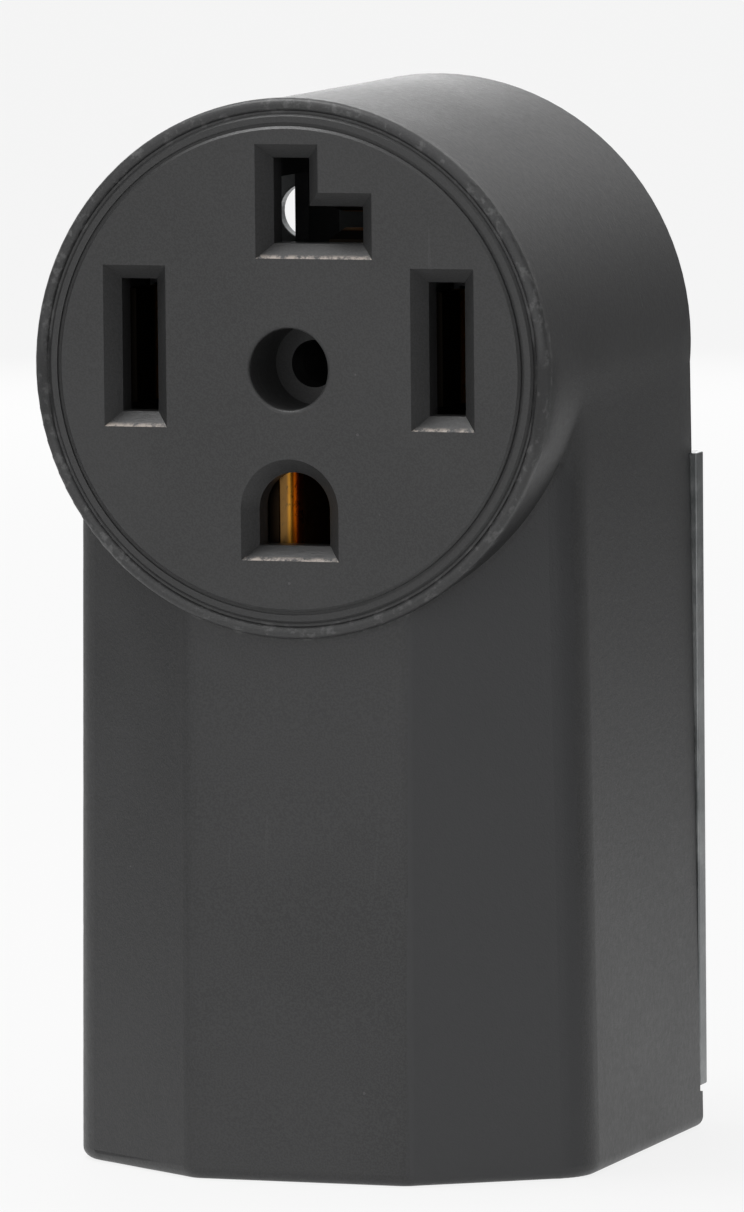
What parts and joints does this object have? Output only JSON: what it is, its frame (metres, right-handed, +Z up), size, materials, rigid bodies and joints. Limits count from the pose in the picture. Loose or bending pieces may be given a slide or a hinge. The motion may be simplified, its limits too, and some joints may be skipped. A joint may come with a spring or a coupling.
{
  "type": "surface-mounted dryer outlet",
  "caption": "Black surface-mounted heavy-duty power outlet with a round slotted face on a faceted wiring box that runs down to a flat foot, and a folded steel plate behind.",
  "frame": {"origin": "on the wall plane (the back plate's rear face), level with the middle of the round head", "axes": "+X to the right as seen from the front, +Y into the wall, +Z up; the slotted face looks along -Y"},
  "size_m": [0.0548, 0.0511, 0.107],
  "materials": {
    "black_moulding": "satin black moulded plastic with a fine grain",
    "face_moulding": "satin black moulded plastic, slightly smoother",
    "carrier_moulding": "dull black moulded plastic",
    "brass_strip": "rolled brass strip, slightly tarnished",
    "spring_steel": "plain spring steel",
    "plated_steel": "zinc plated steel",
    "screw_steel": "yellowish plated steel",
    "green_screw": "green plated steel",
    "zinc_plate": "dull zinc plated sheet with darker patches",
    "grey_fibre": "hard grey fibre sheet"
  },
  "bodies": {
    "root": {"housing": "black_moulding", "face_insert": "face_moulding", "contact_carrier": "carrier_moulding", "hot_contact_left": "brass_strip", "hot_contact_right": "brass_strip", "neutral_contact": "brass_strip", "ground_contact": "brass_strip", "hot_clip_left": "spring_steel", "hot_clip_right": "spring_steel", "neutral_clip": "spring_steel", "ground_clip": "spring_steel", "hot_left_clamp_plate": "plated_steel", "hot_left_terminal_screw": "screw_steel", "hot_right_clamp_plate": "plated_steel", "hot_right_terminal_screw": "screw_steel", "neutral_clamp_plate": "plated_steel", "neutral_terminal_screw": "screw_steel", "ground_clamp_plate": "plated_steel", "ground_terminal_screw": "green_screw", "terminal_nuts": "plated_steel", "carrier_screws": "plated_steel", "back_plate": "zinc_plate", "mounting_post": "plated_steel", "insulating_sheet": "grey_fibre", "cable_saddle": "zinc_plate", "saddle_screws": "plated_steel"}
  },
  "joints": []
}
